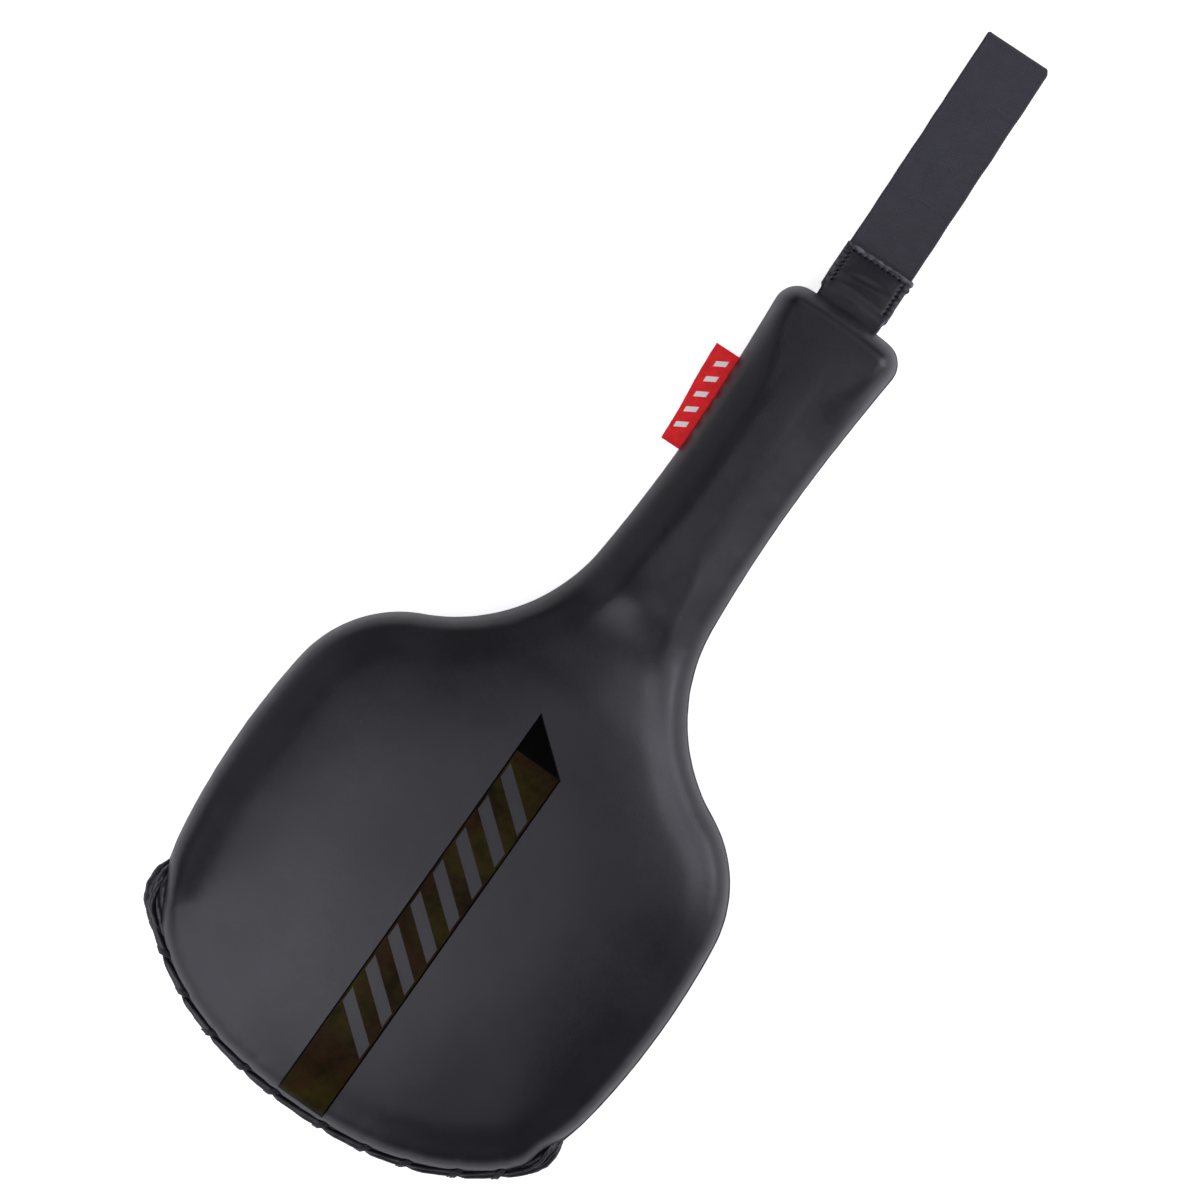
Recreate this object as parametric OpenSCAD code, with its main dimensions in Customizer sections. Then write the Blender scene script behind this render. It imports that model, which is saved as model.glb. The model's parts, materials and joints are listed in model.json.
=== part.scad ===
// Kick paddle: a padded striking head on a padded grip, with an elastic wrist loop sewn to the grip's end.
// It lies on its back. +Y runs up the grip and +Z out of the striking face. The origin is the middle of the
// head, on the back face. The cover is two leather panels that meet in a seam at half the thickness.

/* [Outline] */
// The half outline is a chain of tangent arcs, from the closed end of the head round to the end of the grip.
// Radius of the head's closed end
close_r = 197; // [175:1:220]
// Turn of the closed end
close_turn = 9; // [8:0.5:10]
// Radius between the closed end and the lower corner
lower_r = 111; // [104:1:118]
// Turn between the closed end and the lower corner
lower_turn = 34; // [33:0.5:35]
// Radius of the lower corner
corner_r = 20; // [18:0.5:26]
// Turn of the lower corner
corner_turn = 34; // [33:0.5:35]
// Radius of the head's side
side_r = 307; // [290:1:325]
// Turn of the head's side
side_turn = 20; // [19:0.5:21]
// Radius of the shoulder
shoulder_r = 53; // [49:0.5:58]
// Turn of the shoulder
shoulder_turn = 58; // [57:0.5:59]
// Half width where the neck ends and the grip begins
grip_root_half_w = 27; // [25:0.5:31]
// Turn of the neck, which bends the other way
neck_turn = 60; // [59:0.5:61]
// Length of the grip's tapering stretch
grip_taper_len = 81; // [70:1:90]
// Turn of the grip's tapering stretch
grip_taper_turn = 7.6; // [7:0.1:8]
// Length of the grip's flared stretch
grip_flare_len = 42; // [35:1:50]
// Turn of the grip's flared stretch
grip_flare_turn = 1.9; // [1.5:0.1:2.5]
// Radius of the grip end's corners
end_corner_r = 9.7; // [9.2:0.1:12]
// Turn left over for the shallow arc across the grip's end
end_turn = 5; // [3:0.5:8]

/* [Thickness] */
// Thickness of the head
head_t = 44; // [40:1:52]
// Thickness of the grip
grip_t = 36; // [30:1:38]
// Thickness of the cover leather
cover_t = 1.2; // [1:0.1:1.6]
// Width of the rounded edge on the head
head_roll = 14; // [11:0.5:15]
// Width of the rounded edge on the grip
grip_roll = 17; // [14:0.5:19]
// Width of the rounded edge at the grip's end
end_roll = 8; // [6:0.5:8.5]
// Thickness of the stiff board in the middle
board_t = 3; // [2:0.5:4]

/* [Closing seam] */
// How far the closing seam's two lips stand out of the head
lip_w = 3.5; // [2.5:0.1:4.5]
// How much further the lips stand out at the head's corners, where the cover's ends are folded in
ear_w = 0.8; // [0:0.1:3.5]
// Distance from one closing stitch to the next
closing_pitch = 18.5; // [14:0.5:22]

/* [Side seam] */
// How far the turned side seam stands proud
seam_ridge = 0.4; // [0.2:0.1:0.8]
// Distance from one side stitch to the next
side_pitch = 8; // [6:0.5:12]

/* [Wrist loop] */
// Width of the elastic webbing
strap_w = 30; // [25:1:32]
// Thickness of the webbing
web_t = 1.6; // [1.2:0.1:2]
// Length of the loop beyond its leather tab
loop_len = 102; // [85:1:130]
// Length of the leather tab outside the grip
tab_len = 30; // [28:0.5:36]
// Thickness of the tab's leather
tab_t = 0.8; // [0.6:0.1:0.9]
// Sideways place of the tab on the grip's end
strap_x = -1.5; // [-3:0.5:3]
// Angle of the loop to the paddle, seen from the front
strap_yaw = 1.8; // [-3:0.1:3]

/* [Side label] */
// Length of the woven label along the grip
label_len = 44; // [30:1:48]
// How far the label stands out at its end nearer the head
label_out_low = 7.8; // [6:0.1:12]
// How far the label stands out at its end nearer the loop
label_out_high = 10.5; // [6:0.1:14]
// Thickness of the folded label
label_t = 0.8; // [0.6:0.1:1]
// Place of the label's middle along the grip
label_y = 214; // [200:1:228]

/* [Print] */
// Left edge of the gloss band
band_left = -9; // [-14:0.5:-4]
// Width of the gloss band
band_w = 21.7; // [16:0.1:26]
// Height of the band's slanted tip on the left
band_tip_y = 74.6; // [60:0.2:80]
// Slant of the band's tip
band_slant = 39; // [20:1:42]
// Number of slanted gaps that show the leather through the band
gap_count = 8; // [4:1:10]

/* [Hidden] */

mid_z = head_t / 2;          // height of the side seam
fit_gap = 0.2;               // room between the board and the pads, and between one pad and the next
pad_gap = 0.6;               // room between the cover and the pads
allowance = 7;               // width of the seam allowance inside the cover
board_inset = 9.5;           // from the outline to the board's edge
neck_split_y = 118;          // where the head pads end and the grip pads begin
neck_low_y = 84;             // the section changes from head to grip between these two
neck_high_y = 130;
end_low_y = 234;             // and the rounded edge narrows between these two
end_high_y = 262;
head_power = 2.8;            // squareness of the head's rounded edge
grip_power = 2.1;            // squareness of the grip's rounded edge
roll_steps = 6;              // facets up the rounded edge
thread_t = 0.4;              // thickness of the seam thread
cord_t = 1.2;                // thickness of the closing cord
black = "#1c1c1f";
web_grey = "#33343a";

/* Outline. A station is [x, y, heading] and a segment is [radius, signed turn, facets]. */
function last(list) = list[len(list) - 1];
function sum_turns(list, i = 0) = i == len(list) ? 0 : list[i][1] + sum_turns(list, i + 1);
function step(at, radius, turn) =
    let (side = sign(turn), heading = at[2] + turn)
    [at.x + side * radius * (sin(heading) - sin(at[2])),
     at.y + side * radius * (cos(at[2]) - cos(heading)), heading];
function arc_points(at, seg) = [for (k = [1:seg[2]]) step(at, seg[0], seg[1] * k / seg[2])];
function end_of(list, at, i = 0) =
    i == len(list) ? at : end_of(list, step(at, list[i][0], list[i][1]), i + 1);
function long_arc(length, turn, facets) = [length / turn * 180 / PI, -turn, facets];

closing_arcs = [[close_r, close_turn, 3], [lower_r, lower_turn, 6], [corner_r, corner_turn, 5]];
head_arcs = concat(closing_arcs, [[side_r, side_turn, 5], [shoulder_r, shoulder_turn, 8]]);
corner_end = end_of(closing_arcs, [0, 0, 0]);
start = [0, -(corner_end.y + side_r * cos(corner_end[2])), 0];     // puts the widest place at y = 0
closing_end_y = start.y + corner_end.y;
shoulder_end = end_of(head_arcs, start);
neck_r = (shoulder_end.x - grip_root_half_w) / (sin(shoulder_end[2] - neck_turn) - sin(shoulder_end[2]));
open_arcs = concat(head_arcs, [[neck_r, -neck_turn, 8], long_arc(grip_taper_len, grip_taper_turn, 4),
                               long_arc(grip_flare_len, grip_flare_turn, 3)]);
corner_arc = [end_corner_r, 180 - end_turn - sum_turns(open_arcs), 7];
before_end = end_of(concat(open_arcs, [corner_arc]), start);
arcs = concat(open_arcs, [corner_arc, [before_end.x / sin(end_turn), end_turn, 2]]);
function walk(at, i = 0) =
    i == len(arcs) ? [] : let (part = arc_points(at, arcs[i])) concat(part, walk(last(part), i + 1));
stations = concat([start], walk(start));
ends = len(stations) - 1;
end_y = last(stations).y;
tang_end_y = end_y - 20;     // where the board's tang stops, short of the tab

/* The place on the outline at a distance along it from the closed end. */
function arc_len(seg) = seg[0] * abs(seg[1]) * PI / 180;
function lengths(list, i = 0) = i == len(list) ? 0 : arc_len(list[i]) + lengths(list, i + 1);
function along(s, i = 0, at = start) =
    s <= arc_len(arcs[i]) || i == len(arcs) - 1 ? step(at, arcs[i][0], arcs[i][1] * s / arc_len(arcs[i]))
    : along(s - arc_len(arcs[i]), i + 1, step(at, arcs[i][0], arcs[i][1]));
closing_len = lengths(closing_arcs);
half_len = lengths(arcs);
grip_sides = [for (p = stations) if (p.y > neck_high_y && p[2] < 100) [p.y, p.x]];

/* The padded section: a rounded edge, then a flat face. Heights are above the seam. */
function ease(y, low, high) = let (u = min(max((y - low) / (high - low), 0), 1)) u * u * (3 - 2 * u);
function neck_mix(y, head, grip) = head + (grip - head) * ease(y, neck_low_y, neck_high_y);
function half_t(y) = neck_mix(y, head_t, grip_t) / 2;
function roll(y) =
    neck_mix(y, head_roll, grip_roll) + (end_roll - grip_roll) * ease(y, end_low_y, end_high_y);
function lip(y) =
    let (closed = 1 - ease(y, closing_end_y - 2, closing_end_y + 9), d = (y - closing_end_y + 6) / 8)
    seam_ridge + (lip_w + ear_w * exp(-d * d) - seam_ridge) * closed;
function edge_point(st, inset, base, k) =
    let (p = neck_mix(st.y, head_power, grip_power), low = asin(pow(base / (half_t(st.y) - inset), p / 2)),
         a = low + (90 - low) * k / roll_steps,
         d = inset + (roll(st.y) - inset) * (1 - pow(max(cos(a), 0), 2 / p)), y = st.y + d * cos(st[2]))
    [d, k == 0 ? base : (half_t(y) - inset) * pow(sin(a), 2 / p)];
function rise(st, inset, base) = [for (k = [0:roll_steps]) edge_point(st, inset, base, k)];
function fall(st, inset, base) = [for (k = [roll_steps:-1:0]) edge_point(st, inset, base, k)];
function inward(st, dz) = [st.x - dz[0] * sin(st[2]), st.y + dz[0] * cos(st[2]), dz[1]];

/* A solid of profiles carried round the outline. Each profile is a list of [distance inward, height]. Its
   first and last points are joined straight across the part, which closes the solid. */
module carried(profiles) {
    rows = len(profiles[0]);
    around = 2 * ends;
    function at(j, k) = ((j + around) % around) * rows + k;
    function across(k) = concat(
        [[at(0, k), at(-1, k), at(1, k)]],
        [for (i = [1:ends - 2])
            each [[at(-i, k), at(-i - 1, k), at(i + 1, k)], [at(-i, k), at(i + 1, k), at(i, k)]]],
        [[at(1 - ends, k), at(ends, k), at(ends - 1, k)]]);
    points = [for (j = [0:around - 1], k = [0:rows - 1])
        let (i = min(j, around - j), p = inward(stations[i], profiles[i][k]))
        [j == i ? p.x : -p.x, p.y, p.z]];
    walls = [for (j = [0:around - 1], k = [0:rows - 2])
        each [[at(j, k), at(j, k + 1), at(j + 1, k + 1)], [at(j, k), at(j + 1, k + 1), at(j + 1, k)]]];
    first_side = [for (f = across(0)) [f[2], f[1], f[0]]];
    polyhedron(points, concat(walls, first_side, across(rows - 1)), convexity = 10);
}
module upper_half() {
    translate([0, 0, mid_z]) children();
}
module lower_half() {
    translate([0, 0, mid_z]) mirror([0, 0, 1]) children();
}

/* Cover panel: down the inside, out along the seam allowance to the lip, and up the outside. The seam is open
   where the tab and the label are sewn in. */
module cover_panel() {
    difference() {
        carried([for (st = stations) concat(
            fall(st, cover_t, cover_t),
            [[allowance, cover_t], [allowance, 0], [-lip(st.y), 0], [-lip(st.y), cover_t]],
            rise(st, 0, cover_t))]);
        translate([0, 0, -mid_z]) {
            tab_slot();
            label_slot();
        }
    }
}
module front_cover() {
    color(black) upper_half() cover_panel();
}
module back_cover() {
    color(black) lower_half() cover_panel();
}

/* Pads fill the cover on both sides of the board, and part at the neck. They start above the board and above
   the seam allowance with its thread, whichever is thicker. */
pad_base = max(board_t / 2, cover_t + thread_t) + fit_gap / 2;
module pad() {
    carried([for (st = stations) rise(st, cover_t + pad_gap, pad_base)]);
}
module up_to_neck() {
    translate([-150, -150, 0]) cube([300, 150 + neck_split_y - fit_gap / 2, 60]);
}
module past_neck() {
    translate([-150, neck_split_y + fit_gap / 2, 0]) cube([300, 200, 60]);
}
module head_foam() {
    color("#4a4c52") intersection() {
        pad();
        up_to_neck();
    }
}
module grip_foam() {
    color("#5b5f66") intersection() {
        pad();
        past_neck();
    }
}
module front_head_foam() {
    upper_half() head_foam();
}
module back_head_foam() {
    lower_half() head_foam();
}
module front_grip_foam() {
    upper_half() grip_foam();
}
module back_grip_foam() {
    lower_half() grip_foam();
}

/* Stiff board between the pads, with a tang down the grip. */
module core_board() {
    right = [for (st = stations) inward(st, [board_inset, 0])];
    left = [for (i = [ends - 1:-1:1]) [-right[i].x, right[i].y]];
    color("#d9d4c4") translate([0, 0, mid_z - board_t / 2]) linear_extrude(board_t) intersection() {
        polygon(concat([for (p = right) [p.x, p.y]], left));
        translate([-150, -150]) square([300, 150 + tang_end_y]);
    }
}

/* One stitch: a flat ring of thread round a stack of layers, length long in Y and centred on the stack. */
module stitch(length, stack) {
    rotate([90, 0, 90]) linear_extrude(thread_t, center = true) difference() {
        square([length, stack + 2 * thread_t], center = true);
        square([length - 2 * thread_t, stack], center = true);
    }
}
/* Puts a child on the seam: s along the outline, d inside it, and turned so that +Y runs along the seam. */
module on_seam(s, d, side) {
    at = along(s);
    mirror([side < 0 ? 1 : 0, 0, 0]) translate(inward(at, [d, mid_z])) rotate([0, 0, at[2] - 90]) children();
}
module side_seam_thread() {
    color("#101012") for (side = [-1, 1], s = [closing_len + 8:side_pitch:half_len - 3])
        on_seam(s, 3, side) stitch(side_pitch * 0.8, 2 * cover_t);
}
module closing_stitches() {
    ring_r = lip_w / 2 + 1.2;
    color("#101012") for (side = [-1, 1], s = [closing_pitch / 2:closing_pitch:closing_len - 14])
        on_seam(s, cord_t / 2 + 0.4 - ring_r, side) rotate([90, 0, 0]) rotate_extrude($fn = 48)
            translate([ring_r, 0]) circle(cord_t / 2, $fn = 24);
}

/* Gloss band, a thin film printed on the front from just inside the closing seam up. Slanted gaps let the
   leather show. */
module face_band() {
    film = 0.15;
    lift = 0.02;
    margin = 1.4;
    gap_w = 7;
    gap_pitch = 15.5;
    right = band_left + band_w;
    low = start.y + 2.4;
    drop = band_w * tan(band_slant);
    inner_w = band_w - 2 * margin;
    inner_drop = inner_w * tan(band_slant);
    first_gap_y = band_tip_y - drop - 9;
    color("#0b0b0b") intersection() {
        upper_half() carried([for (st = stations) concat(
            fall(st, -lift, cover_t + 0.2), rise(st, -lift - film, cover_t + 0.2))]);
        linear_extrude(2 * head_t) difference() {
            polygon([[band_left, low], [right, low], [right, band_tip_y - drop], [band_left, band_tip_y]]);
            for (i = [0:gap_count - 1])
                translate([band_left + margin, first_gap_y - i * gap_pitch])
                    polygon([[0, 0], [inner_w, -inner_drop], [inner_w, -inner_drop - gap_w], [0, -gap_w]]);
        }
    }
}

/* Wrist loop. The tab slopes down from the grip's end to the ground and the loop lies flat beyond it. The tab
   turns about a bend line just off the grip's end, and the loop about a bend line at the tab's far end. */
hinge_off = 3.2;             // from the grip's end to the tab's bend line
tab_gap = 1.5;               // from the bend line to the tab's plies
tab_w = strap_w + 1;
tab_edge = 2;                // the plies stop this far short of the loop's bend line
layer_gap = 0.3;             // between the loop's two layers
layer_z = (layer_gap + web_t) / 2;
stack_half = layer_gap / 2 + web_t;
ply_z = stack_half + 0.05;   // inner face of a tab ply
loop_z = stack_half + 0.25;  // the loop's middle above the ground
tab_slope = asin((mid_z - loop_z) / tab_len);
base_len = 6;                // stiff start of the loop
fold_leg = 2;                // straight bit before the fold at the loop's end
half_loop = (loop_len - base_len - fold_leg - stack_half) / 2;
first_bend = base_len;
middle_bend = base_len + half_loop;
last_bend = base_len + 2 * half_loop;
wide_gap = web_t / 2 + 0.05; // on each side of a bend that closes to a right angle
slim_gap = 0.4;              // on each side of a bend that closes half as far

module strap_frame() {
    translate([strap_x, end_y + hinge_off, mid_z]) rotate([0, 0, strap_yaw]) children();
}
module tab_frame() {
    strap_frame() rotate([-tab_slope, 0, 0]) children();
}
module loop_frame() {
    strap_frame() translate([0, tab_len * cos(tab_slope), loop_z - mid_z]) children();
}
module sheet(from, to, low, high, width) {
    translate([-width / 2, from, low]) cube([width, to - from, high - low]);
}
module tab_slot() {
    strap_frame() sheet(-hinge_off - 14, 2, -tab_t - 0.05, tab_t + 0.05, tab_w + 0.4);
}
module tab_root() {
    color(black) strap_frame() sheet(-hinge_off - 13, -0.3, -tab_t, tab_t, tab_w);
}
module tab_front() {
    color(black) tab_frame() sheet(tab_gap, tab_len - tab_edge, ply_z, ply_z + tab_t, tab_w);
}
module tab_back() {
    color(black) tab_frame() sheet(tab_gap, tab_len - tab_edge, -ply_z - tab_t, -ply_z, tab_w);
}
module tab_stitching() {
    pitch = 4;
    inset = 2.2;
    stack = 2 * (ply_z + tab_t);
    top_y = tab_len - tab_edge - inset;
    color("#101012") tab_frame() {
        for (side = [-1, 1], y = [top_y - pitch:-pitch:tab_gap + 2])
            translate([side * (tab_w / 2 - inset), y, 0]) stitch(pitch * 0.75, stack);
        for (i = [-3:3])
            translate([i * pitch, top_y, 0]) rotate([0, 0, 90]) stitch(pitch * 0.75, stack);
    }
}

/* The webbing: one strip doubled back on itself, in stiff lengths that meet at the bends. */
module front_layer(from, to) {
    color(web_grey) sheet(from, to, layer_gap / 2, stack_half, strap_w);
}
module back_layer(from, to) {
    color(web_grey) sheet(from, to, -stack_half, -layer_gap / 2, strap_w);
}
module loop_tail() {
    tab_frame() {
        front_layer(8, tab_len - tab_edge);
        back_layer(8, tab_len - tab_edge);
    }
}
module loop_base() {
    loop_frame() {
        front_layer(tab_edge, first_bend - slim_gap);
        back_layer(tab_edge, first_bend - slim_gap);
    }
}
module loop_front_lower() {
    loop_frame() front_layer(first_bend + slim_gap, middle_bend - wide_gap);
}
module loop_front_upper() {
    loop_frame() front_layer(middle_bend + wide_gap, last_bend - slim_gap);
}
module loop_back_lower() {
    loop_frame() back_layer(first_bend + slim_gap, middle_bend - wide_gap);
}
module loop_back_upper() {
    loop_frame() back_layer(middle_bend + wide_gap, last_bend - slim_gap);
}
module loop_end_fold() {
    color(web_grey) loop_frame() {
        translate([0, last_bend + fold_leg, 0]) rotate([90, 0, 90]) linear_extrude(strap_w, center = true)
            difference() {
                circle(stack_half, $fn = 48);
                circle(layer_gap / 2, $fn = 32);
                translate([-2 * stack_half, -2 * stack_half]) square([2 * stack_half, 4 * stack_half]);
            }
        sheet(last_bend + slim_gap, last_bend + fold_leg, layer_gap / 2, stack_half, strap_w);
        sheet(last_bend + slim_gap, last_bend + fold_leg, -stack_half, -layer_gap / 2, strap_w);
    }
}

/* Woven label sewn into the grip's side seam. It turns about a line just outside the seam. */
label_low_x = lookup(label_y - label_len / 2, grip_sides);
label_high_x = lookup(label_y + label_len / 2, grip_sides);
label_turn = atan((label_high_x - label_low_x) / label_len);
label_seam_x = -(label_low_x + label_high_x) / 2 - seam_ridge - 0.4;
module label_frame() {
    translate([label_seam_x, label_y, mid_z]) rotate([0, 0, label_turn]) children();
}
module label_slot() {
    label_frame() translate([-0.2, -label_len / 2, -label_t / 2 - 0.05])
        cube([6.4, label_len, label_t + 0.1]);
}
module label_root() {
    color("#c8102e") label_frame() translate([1.2, 0.5 - label_len / 2, -label_t / 2])
        cube([4.8, label_len - 1, label_t]);
}
module side_label() {
    half = label_len / 2;
    color("#c8102e") label_frame() translate([0, 0, -label_t / 2]) linear_extrude(label_t)
        polygon([[-0.5, half], [-label_out_high, half - 0.6], [-label_out_low, -half - 0.6], [-0.5, -half]]);
}

front_cover();
back_cover();
front_head_foam();
back_head_foam();
front_grip_foam();
back_grip_foam();
core_board();
side_seam_thread();
closing_stitches();
face_band();
tab_root();
tab_front();
tab_back();
tab_stitching();
loop_tail();
loop_base();
loop_front_lower();
loop_front_upper();
loop_end_fold();
loop_back_lower();
loop_back_upper();
label_root();
side_label();
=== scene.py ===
"""Kick paddle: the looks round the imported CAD. Lengths are in millimetres until a mesh is made."""
import json
import math

import bmesh
import bpy
import numpy as np
from mathutils import Matrix, Vector, kdtree, noise
from mathutils.bvhtree import BVHTree


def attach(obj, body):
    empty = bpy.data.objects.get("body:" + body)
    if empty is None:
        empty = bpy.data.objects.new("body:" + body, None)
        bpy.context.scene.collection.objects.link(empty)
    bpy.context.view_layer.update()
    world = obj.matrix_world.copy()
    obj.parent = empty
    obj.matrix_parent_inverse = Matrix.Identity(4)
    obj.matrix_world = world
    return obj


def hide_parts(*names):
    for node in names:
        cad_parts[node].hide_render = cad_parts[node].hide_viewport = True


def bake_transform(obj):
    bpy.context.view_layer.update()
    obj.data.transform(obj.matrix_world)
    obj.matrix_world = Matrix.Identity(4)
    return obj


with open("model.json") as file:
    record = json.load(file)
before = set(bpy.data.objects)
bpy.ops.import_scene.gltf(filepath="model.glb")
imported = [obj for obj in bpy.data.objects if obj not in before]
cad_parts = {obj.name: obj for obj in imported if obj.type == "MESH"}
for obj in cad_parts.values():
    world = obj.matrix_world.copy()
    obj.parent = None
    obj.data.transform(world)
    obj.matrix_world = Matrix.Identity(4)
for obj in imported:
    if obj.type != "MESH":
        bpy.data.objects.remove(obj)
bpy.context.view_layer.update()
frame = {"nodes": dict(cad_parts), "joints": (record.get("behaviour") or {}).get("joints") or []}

MM = 0.001
RNG = np.random.default_rng(7)

# ---------- driving sizes, as in the CAD
HEAD_T, GRIP_T = 44.0, 36.0  # thickness
MID_Z = HEAD_T / 2  # height of the side seam
HEAD_ROLL, GRIP_ROLL, END_ROLL = 14.0, 17.0, 8.0  # width of the rounded edge
HEAD_POWER, GRIP_POWER = 2.8, 2.1  # squareness of the rounded edge
NECK_LOW, NECK_HIGH = 84.0, 130.0  # the head turns into the grip between these
END_LOW, END_HIGH = 234.0, 262.0  # the grip's edge tightens between these

HEAD_ARCS = ((197, 9), (111, 34), (20, 34), (307, 20), (53, 58))  # (radius, degrees) up to the neck
SIDE_ARC = 3  # the arc of the head's side, widest at y = 0
NECK_TURN, NECK_HALF_W = 60, 27
GRIP_ARCS = ((81, 7.6), (42, 1.9))  # (length, degrees)
CORNER_R, END_TURN = 9.7, 5

STRAP_W, WEB_T, LAYER_GAP = 30.0, 1.6, 0.3
HALF_W = STRAP_W / 2
STACK_HALF = LAYER_GAP / 2 + WEB_T
LAYER_Z = (LAYER_GAP + WEB_T) / 2
TAB_LEN, HALF_TAB = 30.0, 15.5
STRAP_X, YAW = -1.5, math.radians(1.8)
HINGE_OFF = 3.2  # from the grip's end to the tab's hinge
LOOP_Z = STACK_HALF + 0.25  # height of the loop, at rest on the floor
LOOP_LEN, BASE_LEN, FOLD_LEG = 102.0, 6.0, 2.0
HALF_LOOP = (LOOP_LEN - BASE_LEN - FOLD_LEG - STACK_HALF) / 2


# ---------- outline
def solve_arcs():
    """The half outline as (radius, turn) arcs, and the state (x, y, heading) at each start and at the end."""
    def go(at, arcs):
        x, y, h = at
        for radius, turn in arcs:
            side = math.copysign(1, turn)
            x += side * radius * (math.sin(h + turn) - math.sin(h))
            y += side * radius * (math.cos(h) - math.cos(h + turn))
            h += turn
        return x, y, h

    arcs = [(radius, math.radians(turn)) for radius, turn in HEAD_ARCS]
    _, y, h = go((0.0, 0.0, 0.0), arcs[:SIDE_ARC])
    start = (0.0, -(y + arcs[SIDE_ARC][0] * math.cos(h)), 0.0)
    x, _, h = go(start, arcs)
    neck_turn, end_turn = math.radians(NECK_TURN), math.radians(END_TURN)
    arcs.append(((x - NECK_HALF_W) / (math.sin(h - neck_turn) - math.sin(h)), -neck_turn))
    arcs += [(length / math.radians(turn), -math.radians(turn)) for length, turn in GRIP_ARCS]
    arcs.append((CORNER_R, math.pi - end_turn - sum(turn for _, turn in arcs)))
    arcs.append((go(start, arcs)[0] / math.sin(end_turn), end_turn))
    return arcs, [go(start, arcs[:i]) for i in range(len(arcs) + 1)]


ARCS, STATES = solve_arcs()
STARTS = np.concatenate([[0], np.cumsum([radius * abs(turn) for radius, turn in ARCS])])
HALF_LEN = float(STARTS[-1])
START_Y, END_Y = STATES[0][1], STATES[-1][1]


def outline(u):
    """Place and inward normal on the outline, u mm from the closed end: u > 0 is right, u < 0 is left."""
    u = np.atleast_1d(np.asarray(u, float))
    s = np.clip(np.abs(u), 0, HALF_LEN)
    i = np.clip(np.searchsorted(STARTS, s, side="right") - 1, 0, len(ARCS) - 1)
    radius, turn = np.array(ARCS)[i].T
    x0, y0, h0 = np.array(STATES)[i].T
    side = np.sign(turn)
    h = h0 + side * (s - STARTS[i]) / radius
    x = x0 + side * radius * (np.sin(h) - np.sin(h0))
    y = y0 + side * radius * (np.cos(h0) - np.cos(h))
    flip = np.where(u < 0, -1.0, 1.0)
    return np.stack([x * flip, y], -1), np.stack([-np.sin(h) * flip, np.cos(h)], -1)


def along_outline(u, d, z):
    """Points d mm inside the outline and z high, at u."""
    at, normal = outline(u)
    return np.concatenate([at + np.reshape(d, (-1, 1)) * normal, np.reshape(z, (-1, 1))], 1)


def ease(y, low, high):
    """0 up to low, 1 from high on, and smooth between them."""
    t = np.clip((y - low) / (high - low), 0, 1)
    return t * t * (3 - 2 * t)


def peak(x, at, width):
    """1 where x is at, falling to 0 on both sides over width."""
    return np.exp(-((x - at) / width) ** 2)


def steps(a, b, size, least=2):
    """Even values from a to b, about size apart."""
    return np.linspace(a, b, max(least, int(abs(b - a) / size) + 1))


def neck_mix(y, head, grip):
    return head + (grip - head) * ease(y, NECK_LOW, NECK_HIGH)


def half_t(y):
    return neck_mix(y, HEAD_T, GRIP_T) / 2


def roll_w(y):
    return neck_mix(y, HEAD_ROLL, GRIP_ROLL) + (END_ROLL - GRIP_ROLL) * ease(y, END_LOW, END_HIGH)


# ---------- mesh helpers
def mesh_object(name, verts, faces, material=None, smooth=True, uv=None):
    """Makes an object from vertices in mm. uv, if given, is one (u, v) in mm per vertex."""
    mesh = bpy.data.meshes.new(name)
    mesh.from_pydata((np.asarray(verts, float) * MM).tolist(), [], [list(map(int, f)) for f in faces])
    mesh.validate()
    if uv is not None:
        layer = mesh.uv_layers.new(name="UVMap")
        index = np.empty(len(mesh.loops), np.int32)
        mesh.loops.foreach_get("vertex_index", index)
        layer.data.foreach_set("uv", (np.asarray(uv, float)[index] * MM).astype(np.float32).ravel())
    mesh.polygons.foreach_set("use_smooth", np.full(len(mesh.polygons), smooth))
    obj = bpy.data.objects.new(name, mesh)
    bpy.context.collection.objects.link(obj)
    if material:
        mesh.materials.append(material)
    mesh.update()
    return obj


def grid_faces(rows, cols, closed=False, wrap_cols=False):
    """Quads of a grid of points. closed joins its last row to its first."""
    r = np.arange(rows if closed else rows - 1)
    c = np.arange(cols if wrap_cols else cols - 1)
    i, j = np.meshgrid(r, c, indexing="ij")
    i2, j2 = (i + 1) % rows, (j + 1) % cols
    return np.stack([i * cols + j, i * cols + j2, i2 * cols + j2, i2 * cols + j], -1).reshape(-1, 4)


def face_outwards(obj, weld=None):
    """Turns the faces outwards. If weld is given, points closer than that many metres are joined first."""
    bm = bmesh.new()
    bm.from_mesh(obj.data)
    if weld:
        bmesh.ops.remove_doubles(bm, verts=bm.verts, dist=weld)
        bmesh.ops.dissolve_degenerate(bm, edges=bm.edges, dist=weld)
    bmesh.ops.recalc_face_normals(bm, faces=bm.faces)
    bm.to_mesh(obj.data)
    bm.free()
    obj.data.update()


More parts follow.
